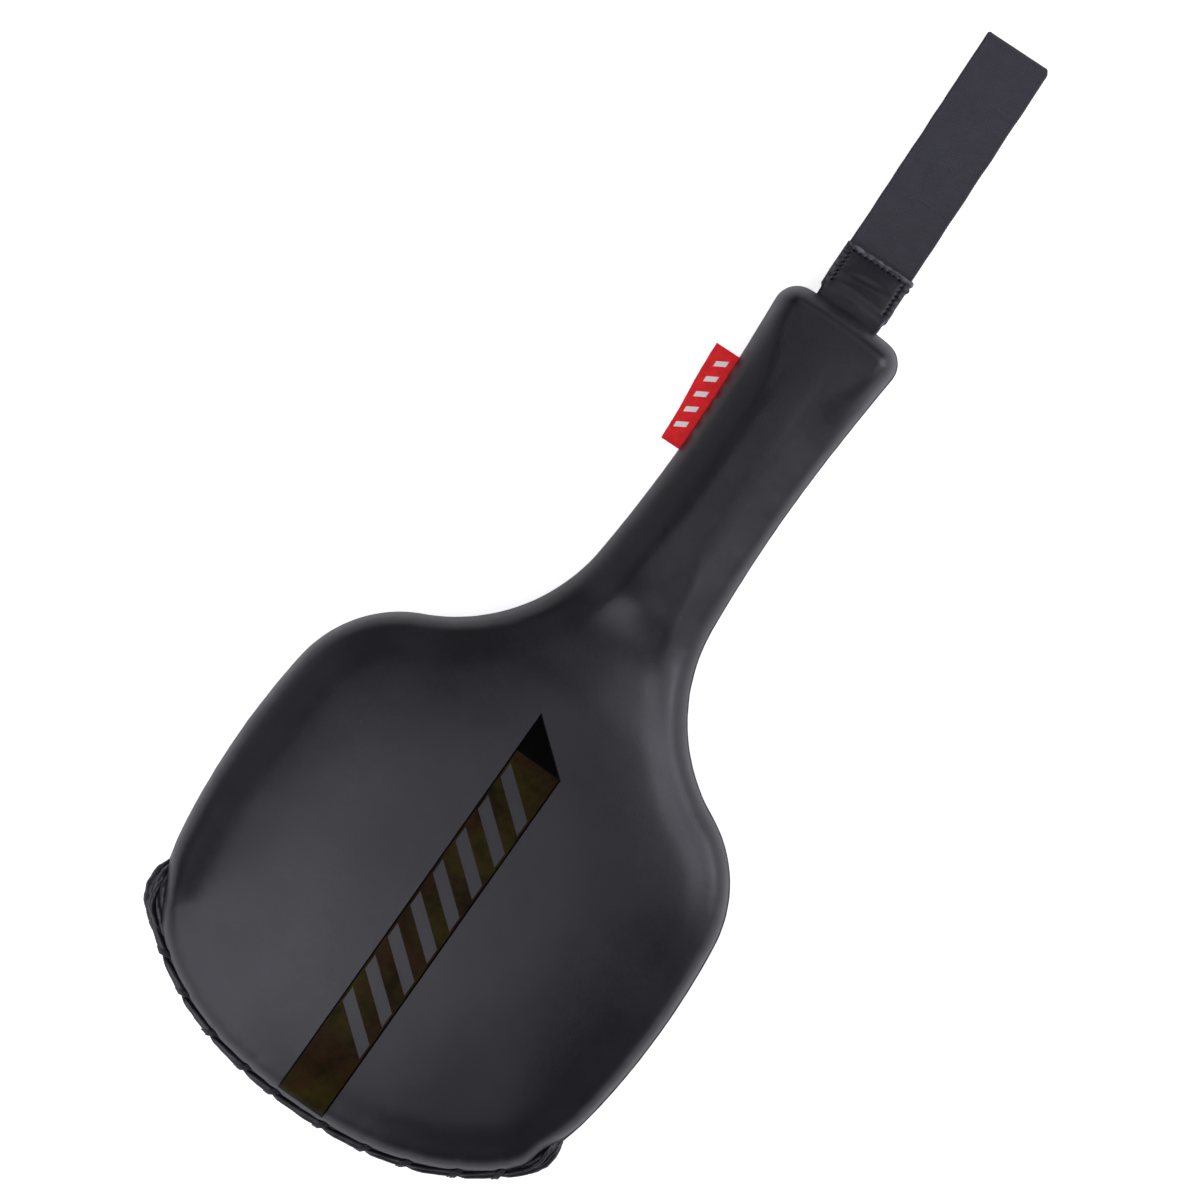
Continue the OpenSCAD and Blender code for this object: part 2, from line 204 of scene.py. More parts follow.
def sweep(path, radii, sides, closed=False, up=(0, 0, 1)):
    """A tube round a path. radii is one number, or (across, along up) for each point."""
    n = len(path)
    radii = np.broadcast_to(np.asarray(radii, float), (n, 2))
    tangent = np.roll(path, -1, 0) - np.roll(path, 1, 0) if closed else np.gradient(path, axis=0)
    tangent /= np.linalg.norm(tangent, axis=1, keepdims=True)
    across = np.cross(tangent, np.broadcast_to(np.asarray(up, float), (n, 3)))
    across /= np.linalg.norm(across, axis=1, keepdims=True)
    lift = np.cross(across, tangent)
    a = np.linspace(0, 2 * math.pi, sides, endpoint=False)
    ring = (path[:, None] + across[:, None] * (radii[:, None, :1] * np.cos(a)[None, :, None])
            + lift[:, None] * (radii[:, None, 1:] * np.sin(a)[None, :, None]))
    faces = [list(f) for f in grid_faces(n, sides, closed, True)]
    if not closed:
        faces.append(list(range(sides))[::-1])
        faces.append([(n - 1) * sides + k for k in range(sides)])
    return ring.reshape(-1, 3), faces


def join_parts(parts):
    """One list of vertices and one of faces from many."""
    verts, faces, base = [], [], 0
    for v, f in parts:
        verts.append(np.asarray(v, float))
        faces += [[int(i) + base for i in face] for face in f]
        base += len(v)
    return np.concatenate(verts), faces


def apply_modifiers(obj):
    depsgraph = bpy.context.evaluated_depsgraph_get()
    mesh = bpy.data.meshes.new_from_object(obj.evaluated_get(depsgraph))
    obj.modifiers.clear()
    old, name = obj.data, obj.data.name
    obj.data = mesh
    bpy.data.meshes.remove(old)
    mesh.name = name


def paint(obj, name, values):
    """Writes one number per point, for a material to read."""
    layer = obj.data.attributes.new(name, "FLOAT", "POINT")
    layer.data.foreach_set("value", values.astype(np.float32))


def plate(name, top, bottom, material, uv=None, cut=None):
    """A closed sheet between two grids (rows x columns x 3, mm). cut marks the cells left out."""
    rows, cols = top.shape[:2]
    cells = np.ones((rows - 1, cols - 1), bool) if cut is None else ~cut
    n = rows * cols
    faces, smooth = [], []
    for i, j in zip(*np.nonzero(cells)):
        a, b, c, d = i * cols + j, i * cols + j + 1, (i + 1) * cols + j + 1, (i + 1) * cols + j
        faces += [(a, b, c, d), (n + a, n + d, n + c, n + b)]
        smooth += [True, True]
        for (di, dj), (p, q) in (((-1, 0), (a, b)), ((0, 1), (b, c)), ((1, 0), (c, d)), ((0, -1), (d, a))):
            ii, jj = i + di, j + dj
            if not (0 <= ii < rows - 1 and 0 <= jj < cols - 1 and cells[ii, jj]):
                faces.append((q, p, n + p, n + q))
                smooth.append(False)
    verts = np.concatenate([top.reshape(-1, 3), bottom.reshape(-1, 3)])
    used = np.unique(np.array(faces))
    renumber = np.full(2 * n, -1)
    renumber[used] = np.arange(len(used))
    if uv is not None:
        uv = np.concatenate([uv.reshape(-1, 2)] * 2)[used]
    obj = mesh_object(name, verts[used], [tuple(renumber[list(f)]) for f in faces], material, True, uv)
    obj.data.polygons.foreach_set("use_smooth", np.array(smooth))
    face_outwards(obj)
    return obj


def value_noise(points, scale, seed=0.0):
    """Smooth noise at points in mm, about -1 to 1, with features about scale mm across."""
    shift = Vector((seed * 17.3, seed * 5.1, seed * 9.7))
    return np.array([noise.noise(Vector(p) / scale + shift) for p in points])


def grid_noise(scale, seed, x, y=0.0, z=0.0):
    """The same noise on arrays of coordinates, in their shape."""
    x, y, z = np.broadcast_arrays(x, y, z)
    return value_noise(np.stack([x.ravel(), y.ravel(), z.ravel()], -1), scale, seed).reshape(x.shape)


# ---------- materials
class Nodes:
    """A short way to write a node tree. A node given as an input stands for its first output."""

    def __init__(self, name):
        self.mat = bpy.data.materials.new(name)
        self.mat.use_nodes = True
        self.tree = self.mat.node_tree
        self.tree.nodes.clear()
        self.out = self.add("ShaderNodeOutputMaterial")

    def add(self, kind, inputs=None, **props):
        node = self.tree.nodes.new(kind)
        for key, value in props.items():
            setattr(node, key, value)
        for key, value in (inputs or {}).items():
            self.put(node, key, value)
        return node

    def put(self, node, key, value):
        socket = node.inputs[key]
        if isinstance(value, bpy.types.NodeSocket):
            self.tree.links.new(value, socket)
        elif isinstance(value, bpy.types.Node):
            self.tree.links.new(value.outputs[0], socket)
        else:
            socket.default_value = value

    def coord(self):
        return self.add("ShaderNodeTexCoord").outputs["Object"]

    def attribute(self, name):
        return self.add("ShaderNodeAttribute", attribute_name=name).outputs["Fac"]

    def math(self, op, a, b=0.0, clamp=False):
        return self.add("ShaderNodeMath", {0: a, 1: b}, operation=op, use_clamp=clamp)

    def noise(self, vector, scale, detail=2.0, rough=0.5):
        inputs = {"Vector": vector, "Scale": scale, "Detail": detail, "Roughness": rough}
        return self.add("ShaderNodeTexNoise", inputs)

    def mix(self, factor, a, b, blend="MIX"):
        inputs = {"Factor": factor, "A": a, "B": b}
        return self.add("ShaderNodeMix", inputs, data_type="RGBA", blend_type=blend).outputs[2]

    def ramp(self, factor, *stops):
        """Each stop is a position and either a grey or a colour."""
        node = self.add("ShaderNodeValToRGB", {"Fac": factor})
        elements = node.color_ramp.elements
        while len(elements) < len(stops):
            elements.new(0.5)
        for element, (place, value) in zip(elements, stops):
            element.position = place
            element.color = (*value, 1) if isinstance(value, tuple) else (value, value, value, 1)
        return node

    def shade(self, factor, tint, *stops):
        """A ramp of one tint. Each stop is a position and a brightness."""
        return self.ramp(factor, *[(place, tuple(c * bright for c in tint)) for place, bright in stops])

    def bump(self, height, distance_mm, strength, normal=None):
        inputs = {"Height": height, "Distance": distance_mm * MM, "Strength": strength}
        return self.add("ShaderNodeBump", inputs if normal is None else {**inputs, "Normal": normal})

    def finish(self, **inputs):
        node = self.add("ShaderNodeBsdfPrincipled", {k.replace("_", " "): v for k, v in inputs.items()})
        self.tree.links.new(node.outputs[0], self.out.inputs["Surface"])
        return self.mat


def leather_material(name, tint, rough, gloss):
    """Pebbled leather. One point attribute lightens it to grey: a painted highlight where the tab's hem and
    edges catch light. Another takes away its colour and its shine: painted shade in the stitch holes.
    """
    n = Nodes(name)
    coord = n.coord()
    warp = n.noise(coord, 260, 2)
    bent = n.add("ShaderNodeMix", {"Factor": 0.0012, "A": coord, "B": warp.outputs["Color"]},
                 data_type="VECTOR")
    pebble = n.add("ShaderNodeTexVoronoi", {"Vector": bent.outputs[1], "Scale": 1 / (0.55 * MM)},
                   feature="DISTANCE_TO_EDGE")
    pebbles = n.math("MULTIPLY", n.math("MINIMUM", pebble, 0.35), 2.8)
    height = n.math("ADD", pebbles, n.math("MULTIPLY", n.noise(coord, 3800, 3, 0.6), 0.5))
    broad = n.noise(coord, 55, 3, 0.55)
    rub = n.ramp(n.noise(coord, 14, 4, 0.6), (0.35, rough - 0.03), (0.7, rough + 0.05))
    roughness = n.math("ADD", rub, n.math("MULTIPLY", n.math("SUBTRACT", broad, 0.5), 0.08))
    # Mixed towards grey by a point attribute: a painted highlight on the tab's hem and edges.
    highlit = n.mix(n.attribute("painted_highlight"), n.shade(broad, tint, (0.3, 0.86), (0.7, 1.12)), (0.15, 0.15, 0.165, 1))
    # A point attribute marks the stitch holes. There the colour, the shine and the coat are taken away:
    # painted shade in the holes.
    unshaded = n.math("SUBTRACT", 1.0, n.attribute("hole_shade"), True)
    grain = n.bump(height, 0.03, 0.7, n.bump(broad, 0.35, 0.5))
    return n.finish(Base_Color=n.mix(1.0, highlit, unshaded, "MULTIPLY"), Roughness=roughness, Normal=grain,
                    Specular_IOR_Level=n.math("MULTIPLY", unshaded, gloss), Coat_Roughness=0.38,
                    Coat_Weight=n.math("MULTIPLY", unshaded, 0.12))


def board_material(name, tint):
    n = Nodes(name)
    fibres = n.noise(n.coord(), 120, 5, 0.65)
    return n.finish(Base_Color=n.shade(fibres, tint, (0.3, 0.92), (0.7, 1.08)), Roughness=0.6,
                    Normal=n.bump(fibres, 0.1, 0.8))


def foam_material(name, tint):
    n = Nodes(name)
    cells = n.add("ShaderNodeTexVoronoi", {"Vector": n.coord(), "Scale": 900.0}, feature="F1")
    # Darker at the cells' centres, where the bump sinks the pores: painted shade in the pores.
    return n.finish(Base_Color=n.shade(cells, tint, (0.1, 0.45), (0.5, 1.0)), Roughness=0.9,
                    Normal=n.bump(cells, 0.4, 0.9))


def thread_material(name, tint):
    n = Nodes(name)
    inputs = {"Vector": n.coord(), "Scale": 900.0, "Distortion": 2.0, "Detail": 2.0}
    twist = n.add("ShaderNodeTexWave", inputs, bands_direction="DIAGONAL").outputs["Fac"]
    # The twist's grooves are darker and its crests lighter in the colour: painted shade and painted
    # highlight.
    return n.finish(Base_Color=n.shade(twist, tint, (0.1, 0.5), (0.9, 1.5)), Roughness=0.6,
                    Normal=n.bump(twist, 0.15, 0.8), Sheen_Weight=0.2)


def wave(n, place, length_mm):
    return n.math("SINE", n.math("MULTIPLY", place, 2 * math.pi / (length_mm * MM)))


def webbing_material(name, tint):
    """Elastic webbing: fine ribs across the strip and yarns along it. The UV is in metres, u across."""
    n = Nodes(name)
    uv = n.add("ShaderNodeUVMap").outputs[0]
    across, along = n.add("ShaderNodeSeparateXYZ", {"Vector": uv}).outputs[:2]
    fuzz = n.noise(uv, 1500, 3, 0.6)
    jitter = n.math("MULTIPLY", n.math("SUBTRACT", fuzz, 0.5), 0.25 * MM)
    rib = wave(n, n.math("ADD", along, jitter), 0.85)
    yarn = wave(n, n.math("ADD", across, jitter), 0.95)
    weave = n.math("MULTIPLY", n.math("ADD", rib, 1.0), n.math("ADD", n.math("MULTIPLY", yarn, 0.45), 1.0))
    height = n.math("ADD", n.math("MULTIPLY", weave, 0.4), n.math("MULTIPLY", fuzz, 0.5))
    # The colour follows the weave's height: its hollows are darker and its ribs lighter, painted shade. The
    # fuzz in it is random tone.
    shaded_weave = n.shade(height, tint, (0.1, 0.55), (0.9, 1.25))
    clouds = n.shade(n.noise(uv, 90, 3, 0.6), tint, (0.3, 0.8), (0.7, 1.2))
    return n.finish(Base_Color=n.mix(0.35, shaded_weave, clouds), Roughness=0.82,
                    Normal=n.bump(height, 0.12, 0.8), Sheen_Weight=0.25, Sheen_Roughness=0.45)


LEATHER = leather_material("cover_leather", (0.0125, 0.0125, 0.0150), 0.40, 0.5)
TAB_LEATHER = leather_material("tab_leather", (0.014, 0.015, 0.019), 0.36, 0.55)
THREAD = thread_material("thread", (0.016, 0.016, 0.019))
WEBBING = webbing_material("webbing", (0.046, 0.046, 0.056))
FOAM = foam_material("head_foam", (0.10, 0.10, 0.11))
GRIP_FOAM = foam_material("grip_foam", (0.16, 0.17, 0.18))
BOARD = board_material("core_board", (0.60, 0.56, 0.46))

# ---------- padded cover
TUCK = ((2.4, 0.12), (1.2, 0.12), (0.5, 0.22), (0.14, 0.55))  # (inward, height) of the turned edge
BASE_H = 1.2  # height where the rounded edge starts
ROLL_ROWS = 17
SEAM_RIDGE = 0.35


def cover_grid(lines, across, side, spread=0.0):
    """Points of one panel, lines x samples x 3. side is 1 for the front and -1 for the back.
    spread is how far the right edge stands out."""
    at, normal = outline(np.linspace(0, HALF_LEN, lines))
    x, y = at.T
    power = neck_mix(y, HEAD_POWER, GRIP_POWER)
    low = np.arcsin((BASE_H / half_t(y)) ** (power / 2))
    rows = [(np.full(lines, d - SEAM_RIDGE), np.full(lines, z)) for d, z in TUCK]
    for k in range(ROLL_ROWS):
        a = low + (math.pi / 2 - low) * (k / (ROLL_ROWS - 1)) ** 0.9
        d = roll_w(y) * (1 - np.maximum(np.cos(a), 0) ** (2 / power)) - SEAM_RIDGE * peak(k, 0, 1.6)
        rows.append((d, half_t(y + d * normal[:, 1]) * np.sin(a) ** (2 / power)))
    right, left = [], []
    for d, z in rows:
        out = d - spread * np.clip(x / 30, 0, 1)
        right.append(np.stack([x + out * normal[:, 0], y + out * normal[:, 1], z], -1))
        left.append(np.stack([-(x + d * normal[:, 0]), y + d * normal[:, 1], z], -1))
    x_in, y_in, _ = right[-1].T
    centre_y = 0.45 * y_in + 0.55 * np.linspace(y_in[0], y_in[-1], lines)
    middle = []
    for k in range(1, across):
        t = k / across  # 0 at the right edge, 1 at the left
        yy = y_in + (centre_y - y_in) * (1 - (2 * t - 1) ** 2) ** 2
        middle.append(np.stack([x_in * (1 - 2 * t), yy, half_t(yy)], -1))
    grid = np.stack(right + middle + left[::-1], 1)
    grid[..., 2] = MID_Z + side * grid[..., 2]
    return grid


def cover_faces(grid, side):
    faces = grid_faces(*grid.shape[:2])
    return faces if side > 0 else faces[:, ::-1]


SIM_VOXEL, SIM_FRAMES, SIM_PRESSURE = 0.0045, 20, 4.0
PIN_H = 3.2  # what is this close to the seam's height is held
SMOOTHING = 16  # passes that smooth the moves


def simulate_cushion():
    """Inflates a coarse closed copy of the cover with Cloth. Gives its rest points and their moves."""
    parts = []
    for side in (1, -1):
        grid = cover_grid(110, 26, side)[:, len(TUCK):-len(TUCK)]
        parts.append((grid.reshape(-1, 3), cover_faces(grid, side)))
    verts, faces = join_parts(parts)
    verts[:, 2] = np.where(np.abs(verts[:, 2] - MID_Z) <= BASE_H + 0.01, MID_Z, verts[:, 2])
    sim = mesh_object("cushion_sim", verts, faces)
    face_outwards(sim, 2e-5)
    remesh = sim.modifiers.new("Remesh", "REMESH")
    remesh.mode = "VOXEL"
    remesh.voxel_size = SIM_VOXEL
    apply_modifiers(sim)
    mesh = sim.data
    rest = np.array([v.co for v in mesh.vertices])
    group = sim.vertex_groups.new(name="pin")
    group.add([i for i, co in enumerate(rest) if abs(co[2] - MID_Z * MM) < PIN_H * MM], 1.0, "REPLACE")

    cloth = sim.modifiers.new("Cloth", "CLOTH")
    cloth.settings.quality = 6
    cloth.settings.mass = 0.3
    cloth.settings.tension_stiffness = cloth.settings.compression_stiffness = 15
    cloth.settings.shear_stiffness = 5
    cloth.settings.bending_stiffness = 0.5
    cloth.settings.use_pressure = True
    cloth.settings.uniform_pressure_force = SIM_PRESSURE
    cloth.settings.vertex_group_mass = "pin"
    cloth.settings.effector_weights.gravity = 0
    cloth.collision_settings.use_collision = False
    scene = bpy.context.scene
    for owner in (scene, cloth.point_cache):
        owner.frame_start, owner.frame_end = 1, SIM_FRAMES
    for f in range(1, SIM_FRAMES + 1):
        scene.frame_set(f)
    depsgraph = bpy.context.evaluated_depsgraph_get()
    moved = np.array([v.co for v in sim.evaluated_get(depsgraph).data.vertices])

    moves = (moved - rest) / MM
    ends = np.empty(len(mesh.edges) * 2, np.int32)
    mesh.edges.foreach_get("vertices", ends)
    a, b = ends.reshape(-1, 2).T
    n = len(rest)
    count = np.bincount(a, minlength=n) + np.bincount(b, minlength=n)
    for _ in range(SMOOTHING):
        total = [np.bincount(a, moves[b, k], n) + np.bincount(b, moves[a, k], n) for k in range(3)]
        moves = (moves + np.stack(total, -1) / count[:, None]) / 2
    bpy.data.objects.remove(sim)
    bpy.data.meshes.remove(mesh)
    scene.frame_set(1)
    return rest / MM, moves


def plan_tree(places):
    tree = kdtree.KDTree(len(places))
    for i, co in enumerate(places):
        tree.insert(co, i)
    tree.balance()
    return tree


class Field:
    """Moves known at scattered points, read anywhere as a Gaussian average of the nearest."""
    NEAR, RADIUS = 30, 5.0

    def __init__(self, rest, moves):
        self.moves = moves
        self.tree = plan_tree(rest)

    def __call__(self, points):
        out = np.zeros((len(points), 3))
        for k, p in enumerate(points):
            found = self.tree.find_n(p, self.NEAR)
            w = np.exp(-(np.array([f[2] for f in found]) / self.RADIUS) ** 2) + 1e-9
            out[k] = w @ self.moves[[f[1] for f in found]] / w.sum()
        return out


def edge_distance(points):
    """Distance in plan from the outline, and the signed place along it, for each point."""
    u = np.linspace(-HALF_LEN, HALF_LEN, 2400)
    tree = plan_tree(along_outline(u, 0 * u, 0 * u))
    found = [tree.find((p[0], p[1], 0)) for p in points]
    return np.array([f[2] for f in found]), u[[f[1] for f in found]]


def soft_depth(points, power=5.0):
    """Depth inside the outline, without a crease where the nearest edge changes."""
    u = np.linspace(-HALF_LEN, HALF_LEN, 1400)[:-1]
    at, _ = outline(u)
    scale = math.sqrt(math.pi) * math.gamma((power - 1) / 2) / math.gamma(power / 2)
    out = np.empty(len(points))
    block = 4000
    for i in range(0, len(points), block):
        away2 = np.maximum(((points[i:i + block, None, :2] - at[None]) ** 2).sum(-1), 0.25)
        out[i:i + block] = ((away2 ** (-power / 2)).sum(1) * (u[1] - u[0]) / scale) ** (-1 / (power - 1))
    return out


WHIPS = (-79.0, -61.5, -42.5, -23.5, -8.5, 15.0, 34.0, 51.5, 72.0, 89.0)  # u of the closing stitches
EARS_AT = (-96.0, 104.0)  # u of the bunched ends of the closing seam


def between_whips(u):
    """0 just past one closing stitch, rising to 1 at the next."""
    marks = np.array([EARS_AT[0], *WHIPS, EARS_AT[1]])
    i = np.clip(np.searchsorted(marks, u, side="right") - 1, 0, len(marks) - 2)
    return np.clip((u - marks[i]) / (marks[i + 1] - marks[i]), 0, 1)


def hollow(points, start, end, width):
    """1 on the line from start to end in plan, falling to 0 over width, with soft ends."""
    a, b = np.array(start, float), np.array(end, float)
    p = points[:, :2] - a
    t = np.clip(p @ (b - a) / ((b - a) @ (b - a)), 0, 1)
    return peak(np.linalg.norm(p - t[:, None] * (b - a), axis=1), 0, width)


DOME, DOME_GRIP, DOME_WIDTH = 5.6, 2.8, 54.0  # rise of the padding, and how far in it goes
SHOULDER = (9.5, 5.5, 1.5)  # (inward, width, depth) of the flattened shoulder
EAR_TUCKS = ((-104, 12.5, 3.6), (108, 11.0, 2.8))  # (u, width, depth) where the cover is drawn in
NECK_DIP = (110, 13, 2.4)  # (y, width, depth)
NECK_LUMP = (-3.6, 131.5, 13.5, 7.5, 1.6)  # (x, y, width, length, height)
NECK_RIDGE = ((19, 117), (8, 164), 4.2, 0.75)  # (start, end, width, height)
GRIP_FOLD, GRIP_GROOVE = 6.5, -9.5  # x of the two lengthwise creases of the grip


def pull_edge(p, side, d, u, rise, level):
    """The sewn edge: puckers, what the closing stitches draw in, and the tucks at the ears."""
    _, normal = outline(u)
    wall = np.clip(rise / 3.0, 0, 1) * (1 - ease(d, 4.0, 13.0))
    pucker = (grid_noise(5.5, side + 8, u, rise * 0.35, d * 0.2) * 0.20
              + grid_noise(2.4, side + 9, u, rise * 0.2, d * 0.1) * 0.06)
    low_wall = np.clip(1 - rise / 9, 0, 1) * np.clip(rise / 1.2, 0, 1)
    closing = 1 - ease(np.abs(u), 104.0, 114.0)
    tuck = sum(depth * peak(u, place, width) for place, width, depth in EAR_TUCKS)
    inward = pucker * wall + (0.55 + 0.75 * between_whips(u)) * closing * low_wall
    inward += tuck * (1 - ease(d, 0.5, 15.0)) * np.clip(rise, 0, 1)
    for place in WHIPS:
        near = peak(u, place, 1.7)
        inward += near * 1.25 * np.clip(1 - rise / 15, 0, 1) * np.clip(rise / 1.5, 0, 1)
        p[:, 2] -= side * near * 0.5 * peak(d, 0, 5) * level
    p[:, :2] += normal * inward[:, None]


def shape_face(p, inner, level):
    """The struck face: the padding's dome, the neck's dip, lump and ridge, and the grip's creases."""
    x, y = p[:, 0].copy(), p[:, 1].copy()
    t = np.clip((soft_depth(p) - 3) / DOME_WIDTH, 0, 1)
    rise = neck_mix(y, DOME, DOME_GRIP) * (1 - (1 - t) ** 2)
    at, width, depth = NECK_DIP
    rise -= depth * peak(y, at, width) * inner
    lump_x, lump_y, width, length, height = NECK_LUMP
    rise += height * peak(x, lump_x, width) * peak(y, lump_y, length)
    start, end, width, height = NECK_RIDGE
    rise += height * hollow(p, start, end, width) * ease(y, 112, 130) * (1 - ease(y, 140, 168))
    along = ease(y, 148, 186) * (1 - ease(y, 222, 262))
    off = (x - GRIP_FOLD + 0.02 * (y - 190)) / 2.0
    rise -= (0.35 * np.tanh(off) + 0.14 * np.logaddexp(0, off) + 0.25 * peak(x, GRIP_GROOVE, 2.4)) * along
    p[:, 2] += rise * level


def dress_cover(grid, side, field, crown):
    """Adds to a panel the padding's swell, softness, edge and face. crown scales the swell."""
    p = grid.reshape(-1, 3).copy()
    d, u = edge_distance(p)
    rise = np.abs(p[:, 2] - MID_Z)
    p += field(p) * crown * ease(d, 0.0, 12.0)[:, None]
    level, inner = ease(rise, 8.0, 17.0), ease(d, 5.0, 16.0)
    soft = value_noise(p * (1, 1, 0.3), 40, side) * 0.14 + value_noise(p * (1, 1, 0.3), 13, side + 3) * 0.04
    p[:, 2] += side * soft * level * inner
    inward, width, depth = SHOULDER
    firm_end = 1 - 0.85 * ease(p[:, 1], 222, 244)
    p[:, 2] -= side * depth * peak(d, inward, width) * ease(rise, 5.0, 14.0) * firm_end
    pull_edge(p, side, d, u, rise, level)
    if side > 0:
        shape_face(p, inner, level)
    else:
        p[:, 2] = np.maximum(p[:, 2], 0.02)  # the back rests on the floor
    return p.reshape(grid.shape)


LINES, ACROSS = 560, 56
SWELL = 3.8  # the most that the simulation lifts the face
LEATHER_T = 0.8


def make_cover(name, node, side, field, crown, spread=0.0):
    grid = dress_cover(cover_grid(LINES, ACROSS, side, spread), side, field, crown)
    obj = mesh_object(name, grid.reshape(-1, 3), cover_faces(grid, side), LEATHER)
    face_outwards(obj, 2e-6)
    solid = obj.modifiers.new("Thickness", "SOLIDIFY")
    solid.thickness = LEATHER_T * MM
    solid.offset = -1
    apply_modifiers(obj)
    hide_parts(node)
    return obj


sim_rest, sim_moves = simulate_cushion()
sim_moves *= SWELL / max(np.percentile(sim_moves[:, 2], 99), 1e-6)
swell_field = Field(sim_rest, sim_moves)
front_panel = make_cover("front_panel", "front_cover", 1, swell_field, 1.0)
back_panel = make_cover("back_panel", "back_cover", -1, swell_field, 0.35, spread=0.6)

# ---------- closing seam: lips, ears, whip stitches
LIP_END = 111.0


def lip(side, seed):
    """A raw edge of the cover along the closing seam: 1 is above it, -1 below it, and 0 fills between."""
    u = np.arange(-LIP_END, LIP_END + 0.01, 0.4)
    taper = np.sqrt(np.clip((LIP_END - np.abs(u)) / 5, 0.03, 1))
    pinch = sum(peak(u, place + 0.4, 1.5) for place in WHIPS)
    bump = grid_noise(7, seed, u) * 0.14 + grid_noise(2.6, seed + 1, u) * 0.10
    phase = between_whips(u)
    d = -2.15 + 1.05 * phase + 0.25 * grid_noise(11, seed + 2, u) + 0.4 * pinch
    width = 1.25 + 0.75 * phase
    if side == 0:
        d, width = np.full(len(u), -0.1), 2.3
    z = MID_Z + side * (1.9 + 0.2 * grid_noise(9, seed + 4, u) - 0.5 * pinch)
    width = width * taper * (1 + bump - 0.1 * pinch)
    height = 1.75 * taper * (1 + bump * 0.8 - 0.25 * pinch)
    return sweep(along_outline(u, d, z), np.stack([width, height], -1), 18)


def lobe(points, radii, seed, sides=22, stations=64):
    """A lumpy fold of leather along a smooth path through (u, d, z) points."""
    knots = np.arange(len(points))
    t = np.linspace(0, len(points) - 1, stations)
    smooth = np.stack([np.interp(t, knots, values) for values in np.array(points, float).T], -1)
    for _ in range(8):
        smooth[1:-1] = (smooth[:-2] + 2 * smooth[1:-1] + smooth[2:]) / 4
    path = along_outline(*smooth.T)
    fat = np.sin(np.linspace(0.12, math.pi - 0.12, stations)) ** 0.55
    verts, faces = sweep(path, np.stack([radii[0] * fat, radii[1] * fat], -1), sides)
    centre = np.repeat(path, sides, 0)
    push = value_noise(verts, 3.6, seed) * 0.20 - np.abs(value_noise(verts, 1.8, seed + 1)) * 0.14
    return centre + (verts - centre) * (1 + push)[:, None], faces


EAR_FOLDS = (  # ((u, d, z) along the fold), (radius across, radius up), seed
    (((-79, -0.6, 22), (-88, -1.1, 22.5), (-98, -1.8, 23), (-107, -2.1, 23.5), (-113, -1.3, 23),
      (-119, 1.4, 22)), (2.6, 3.3), 31),
    (((-86, 0.8, 24.5), (-97, 1.4, 26), (-106, 0.8, 27), (-113, 1.2, 26.5), (-118, 2.4, 24.5)),
     (2.3, 3.2), 33),
    (((-95, 3.2, 27), (-102, 3.5, 29.5), (-110, 3.0, 29.5), (-117, 3.2, 26)), (1.8, 2.8), 35),
    (((-91, -0.9, 26), (-99, -1.4, 28.2), (-107, 0.8, 29.4), (-113, 3.0, 28.5)), (1.5, 2.1), 37),
    (((-86, 0.6, 19.5), (-97, 0.4, 18.5), (-108, -0.1, 18.5), (-118, 1.8, 20)), (3.2, 2.8), 39),
    (((89, -0.4, 22), (98, -1.2, 22.6), (106, -1.5, 23.2), (112, -1.0, 23), (118, 1.0, 22)), (2.2, 3.0), 41),
    (((99, 0.9, 24.5), (105, 1.4, 26.5), (112, 1.5, 26), (118, 1.9, 24.5)), (1.9, 2.7), 43),
    (((101, -0.9, 26.2), (107, 0.6, 28), (114, 2.6, 27)), (1.3, 2.0), 45),
    (((97, 0.4, 19.5), (107, 0.2, 18.6), (117, 1.0, 20)), (2.5, 2.6), 47),
)
LIPS = [lip(1, 21.0), lip(0, 24.0), lip(-1, 27.0)]
edge_fold = mesh_object("closing_edge", *join_parts(LIPS + [lobe(*fold) for fold in EAR_FOLDS]), LEATHER)
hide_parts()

THREAD_R, STRANDS, STRAND_GAP = 0.40, 4, 0.72
WHIP_POINTS = 44  # points round one turn of thread


def whip_stitch(place, strand):
    """One turn of thread round both lips, leaning along the seam."""
    t = np.linspace(0, 2 * math.pi, WHIP_POINTS, endpoint=False)
    shift = (strand - (STRANDS - 1) / 2) * STRAND_GAP + RNG.normal(0, 0.06)
    lean = 2.9 + RNG.normal(0, 0.15)
    d = -0.75 + (2.65 + RNG.normal(0, 0.08)) * np.cos(t)
    z = MID_Z + (4.0 + RNG.normal(0, 0.08)) * np.sin(t)
    path = along_outline(place + shift + lean * np.cos(t), d, z)
    plane = np.cross(path[0] - path[WHIP_POINTS // 2], (0, 0, 1))
    return sweep(path, THREAD_R, 8, closed=True, up=plane)


whips = [whip_stitch(place, strand) for place in WHIPS for strand in range(STRANDS)]
closing_thread = mesh_object("closing_stitch_thread", *join_parts(whips), THREAD)
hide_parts("closing_stitches")

# ---------- gloss band with slanted gaps
BAND_L, BAND_R, BAND_TIP = -9.0, 12.7, 74.6
BAND_LOW = START_Y + 2.4
SLANT = math.tan(math.radians(39))
GAP_MARGIN, GAP_H, GAP_PITCH, GAP_COUNT = 1.4, 7.0, 15.5, 8
GAP_TOPS = [48.03 + SLANT * GAP_MARGIN + GAP_H / 2 - k * GAP_PITCH for k in range(GAP_COUNT)]
BLACK_SIDE, BLACK_FOOT = 0.65, 0.6  # width of the black margins
FILM_LIFT, FILM_DEPTH = 0.16, 0.1  # of the film's top and bottom from the leather


